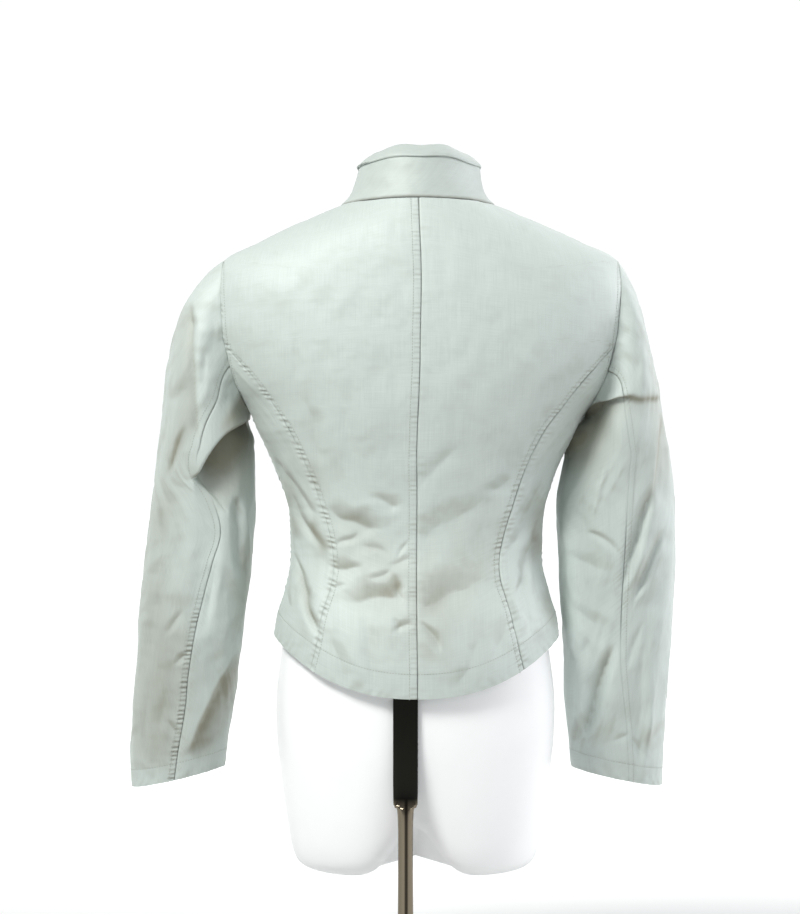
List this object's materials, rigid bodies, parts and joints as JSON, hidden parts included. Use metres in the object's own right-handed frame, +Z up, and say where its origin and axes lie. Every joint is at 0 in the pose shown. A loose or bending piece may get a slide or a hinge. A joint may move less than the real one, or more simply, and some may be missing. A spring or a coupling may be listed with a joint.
{
  "type": "summer jacket on a torso form with a stand",
  "caption": "Short fitted summer jacket with a stand collar and princess seams, worn by a smooth limbless torso form on a chrome tube stand with a round base.",
  "frame": {"origin": "middle of the base's flat underside, on the floor", "axes": "+Z up; the jacket's back faces -Y and its front +Y, so +X is the wearer's right"},
  "size_m": [0.5782, 0.32, 0.9122],
  "materials": {
    "cloth": "close plain weave with a slight silvery sheen",
    "button": "satin",
    "form": "smooth satin white",
    "chrome": "bright polished"
  },
  "bodies": {
    "root": {"back_left": "cloth", "back_right": "cloth", "side_back_left": "cloth", "side_back_right": "cloth", "front_left": "cloth", "front_right": "cloth", "sleeve_upper_left": "cloth", "sleeve_upper_right": "cloth", "sleeve_under_left": "cloth", "sleeve_under_right": "cloth", "collar_stand": "cloth", "collar_leaf": "cloth", "button_1": "button", "button_2": "button", "button_3": "button", "button_4": "button", "button_5": "button", "form_torso": "form", "stand_tube": "chrome", "stand_base": "chrome"}
  },
  "joints": []
}
